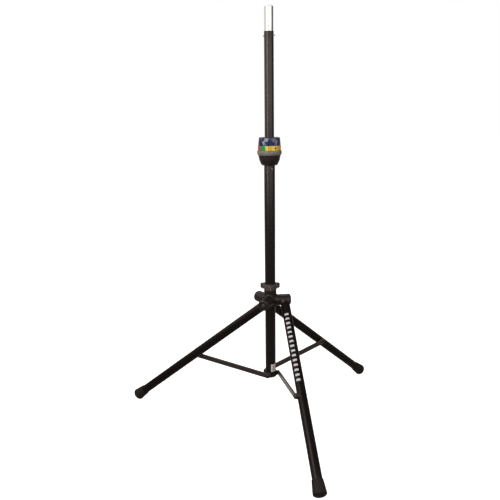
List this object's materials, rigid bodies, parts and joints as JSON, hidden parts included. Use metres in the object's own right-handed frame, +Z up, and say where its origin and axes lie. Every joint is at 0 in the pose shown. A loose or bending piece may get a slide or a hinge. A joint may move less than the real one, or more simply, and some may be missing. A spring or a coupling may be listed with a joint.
{
  "type": "speaker tripod stand",
  "caption": "Telescoping speaker stand: black mast with twist collar and 35 mm spigot on folding tripod legs with braces and rubber feet.",
  "frame": {"origin": "centre of the footprint's bounding box, on the floor", "axes": "+Z up along the mast, the front leg points along -Y"},
  "size_m": [1.159, 1.0643, 1.7231],
  "materials": {
    "black_tube": "satin black anodised and lacquered tube",
    "black_casting": "satin black powder-coated casting",
    "spigot_aluminium": "bright turned aluminium",
    "zinc_steel": "zinc plated",
    "black_steel": "black oxide",
    "rubber": "moulded rubber",
    "blue_gloss": "gloss moulded",
    "band_print": "printed colour band",
    "grey_plastic": "moulded warm grey",
    "black_plastic": "moulded, fine grain",
    "brown_plastic": "moulded brown grey",
    "liner_plastic": "natural acetal",
    "label_white": "blank vinyl label",
    "brace_paint": "satin black-grey bar"
  },
  "bodies": {
    "mast": {"lower_tube": "black_tube", "base_hub": "black_plastic", "base_pins": "black_steel", "blank_label": "label_white", "stop_rivet": "zinc_steel", "guide_bush": "liner_plastic", "collar_core": "black_plastic", "clamp_collet": "liner_plastic"},
    "sliding_mast": {"upper_tube": "black_tube", "speaker_spigot": "spigot_aluminium", "stop_pin": "zinc_steel", "adapter_pin": "zinc_steel", "lower_glide": "black_plastic"},
    "twist_collar": {"collar_cap": "blue_gloss", "indicator_band": "band_print", "grip_ring": "grey_plastic", "collar_cone": "black_plastic", "collar_drum": "black_plastic", "cam_ring": "black_plastic", "thrust_washer": "zinc_steel"},
    "hub": {"sliding_hub": "black_casting", "hub_liner": "liner_plastic", "pivot_bolts": "zinc_steel", "pivot_washers": "black_plastic"},
    "hub_lock": {"lock_ring": "brown_plastic", "lock_screw": "zinc_steel"},
    "leg_front": {"knuckle_front": "black_casting", "leg_tube_front": "black_tube", "foot_cap_front": "rubber", "brace_boss_front": "black_plastic", "tube_rivet_front": "zinc_steel"},
    "brace_front": {"brace_bar_front": "brace_paint", "brace_pin_front": "black_steel"},
    "leg_right": {"knuckle_right": "black_casting", "leg_tube_right": "black_tube", "foot_cap_right": "rubber", "brace_boss_right": "black_plastic", "tube_rivet_right": "zinc_steel"},
    "brace_right": {"brace_bar_right": "brace_paint", "brace_pin_right": "black_steel"},
    "leg_left": {"knuckle_left": "black_casting", "leg_tube_left": "black_tube", "foot_cap_left": "rubber", "brace_boss_left": "black_plastic", "tube_rivet_left": "zinc_steel"},
    "brace_left": {"brace_bar_left": "brace_paint", "brace_pin_left": "black_steel"}
  },
  "joints": [
    {"name": "mast_height", "type": "slide", "parent": "mast", "child": "sliding_mast", "axis": [0, 0, 1], "range_m": [-0.37, 0.277]},
    {"name": "collar_twist", "type": "hinge", "parent": "mast", "child": "twist_collar", "pos_m": [0.0309, 0.13163, 1.168], "axis": [0, 0, 1], "range_deg": [0, 40]},
    {"name": "hub_slide", "type": "slide", "parent": "mast", "child": "hub", "axis": [0, 0, 1], "range_m": [0, 0.4724]},
    {"name": "lock_twist", "type": "hinge", "parent": "hub", "child": "hub_lock", "pos_m": [0.0309, 0.13163, 0.594], "axis": [0, 0, 1], "range_deg": [0, 60]},
    {"name": "leg_front_fold", "type": "hinge", "parent": "hub", "child": "leg_front", "pos_m": [0.0927, 0.13163, 0.533], "axis": [1, 0, 0], "range_deg": [0, 46.56]},
    {"name": "brace_front_fold", "type": "hinge", "parent": "mast", "child": "brace_front", "pos_m": [0.0657, 0.13163, 0.1994], "axis": [-1, 0, 0], "range_deg": [0, 75.25]},
    {"name": "leg_right_fold", "type": "hinge", "parent": "hub", "child": "leg_right", "pos_m": [0, 0.18515, 0.533], "axis": [-0.5, 0.866, 0], "range_deg": [0, 46.56]},
    {"name": "brace_right_fold", "type": "hinge", "parent": "mast", "child": "brace_right", "pos_m": [0.0135, 0.16177, 0.1994], "axis": [0.5, -0.866, 0], "range_deg": [0, 75.25]},
    {"name": "leg_left_fold", "type": "hinge", "parent": "hub", "child": "leg_left", "pos_m": [0, 0.07811, 0.533], "axis": [-0.5, -0.866, 0], "range_deg": [0, 46.56]},
    {"name": "brace_left_fold", "type": "hinge", "parent": "mast", "child": "brace_left", "pos_m": [0.0135, 0.10149, 0.1994], "axis": [0.5, 0.866, 0], "range_deg": [0, 75.25]}
  ],
  "couplings": [
    {"joint": "leg_front_fold", "follows": "hub_slide", "rad_per_m": 1.7198},
    {"joint": "brace_front_fold", "follows": "hub_slide", "rad_per_m": 2.7798},
    {"joint": "leg_right_fold", "follows": "hub_slide", "rad_per_m": 1.7198},
    {"joint": "brace_right_fold", "follows": "hub_slide", "rad_per_m": 2.7798},
    {"joint": "leg_left_fold", "follows": "hub_slide", "rad_per_m": 1.7198},
    {"joint": "brace_left_fold", "follows": "hub_slide", "rad_per_m": 2.7798}
  ]
}
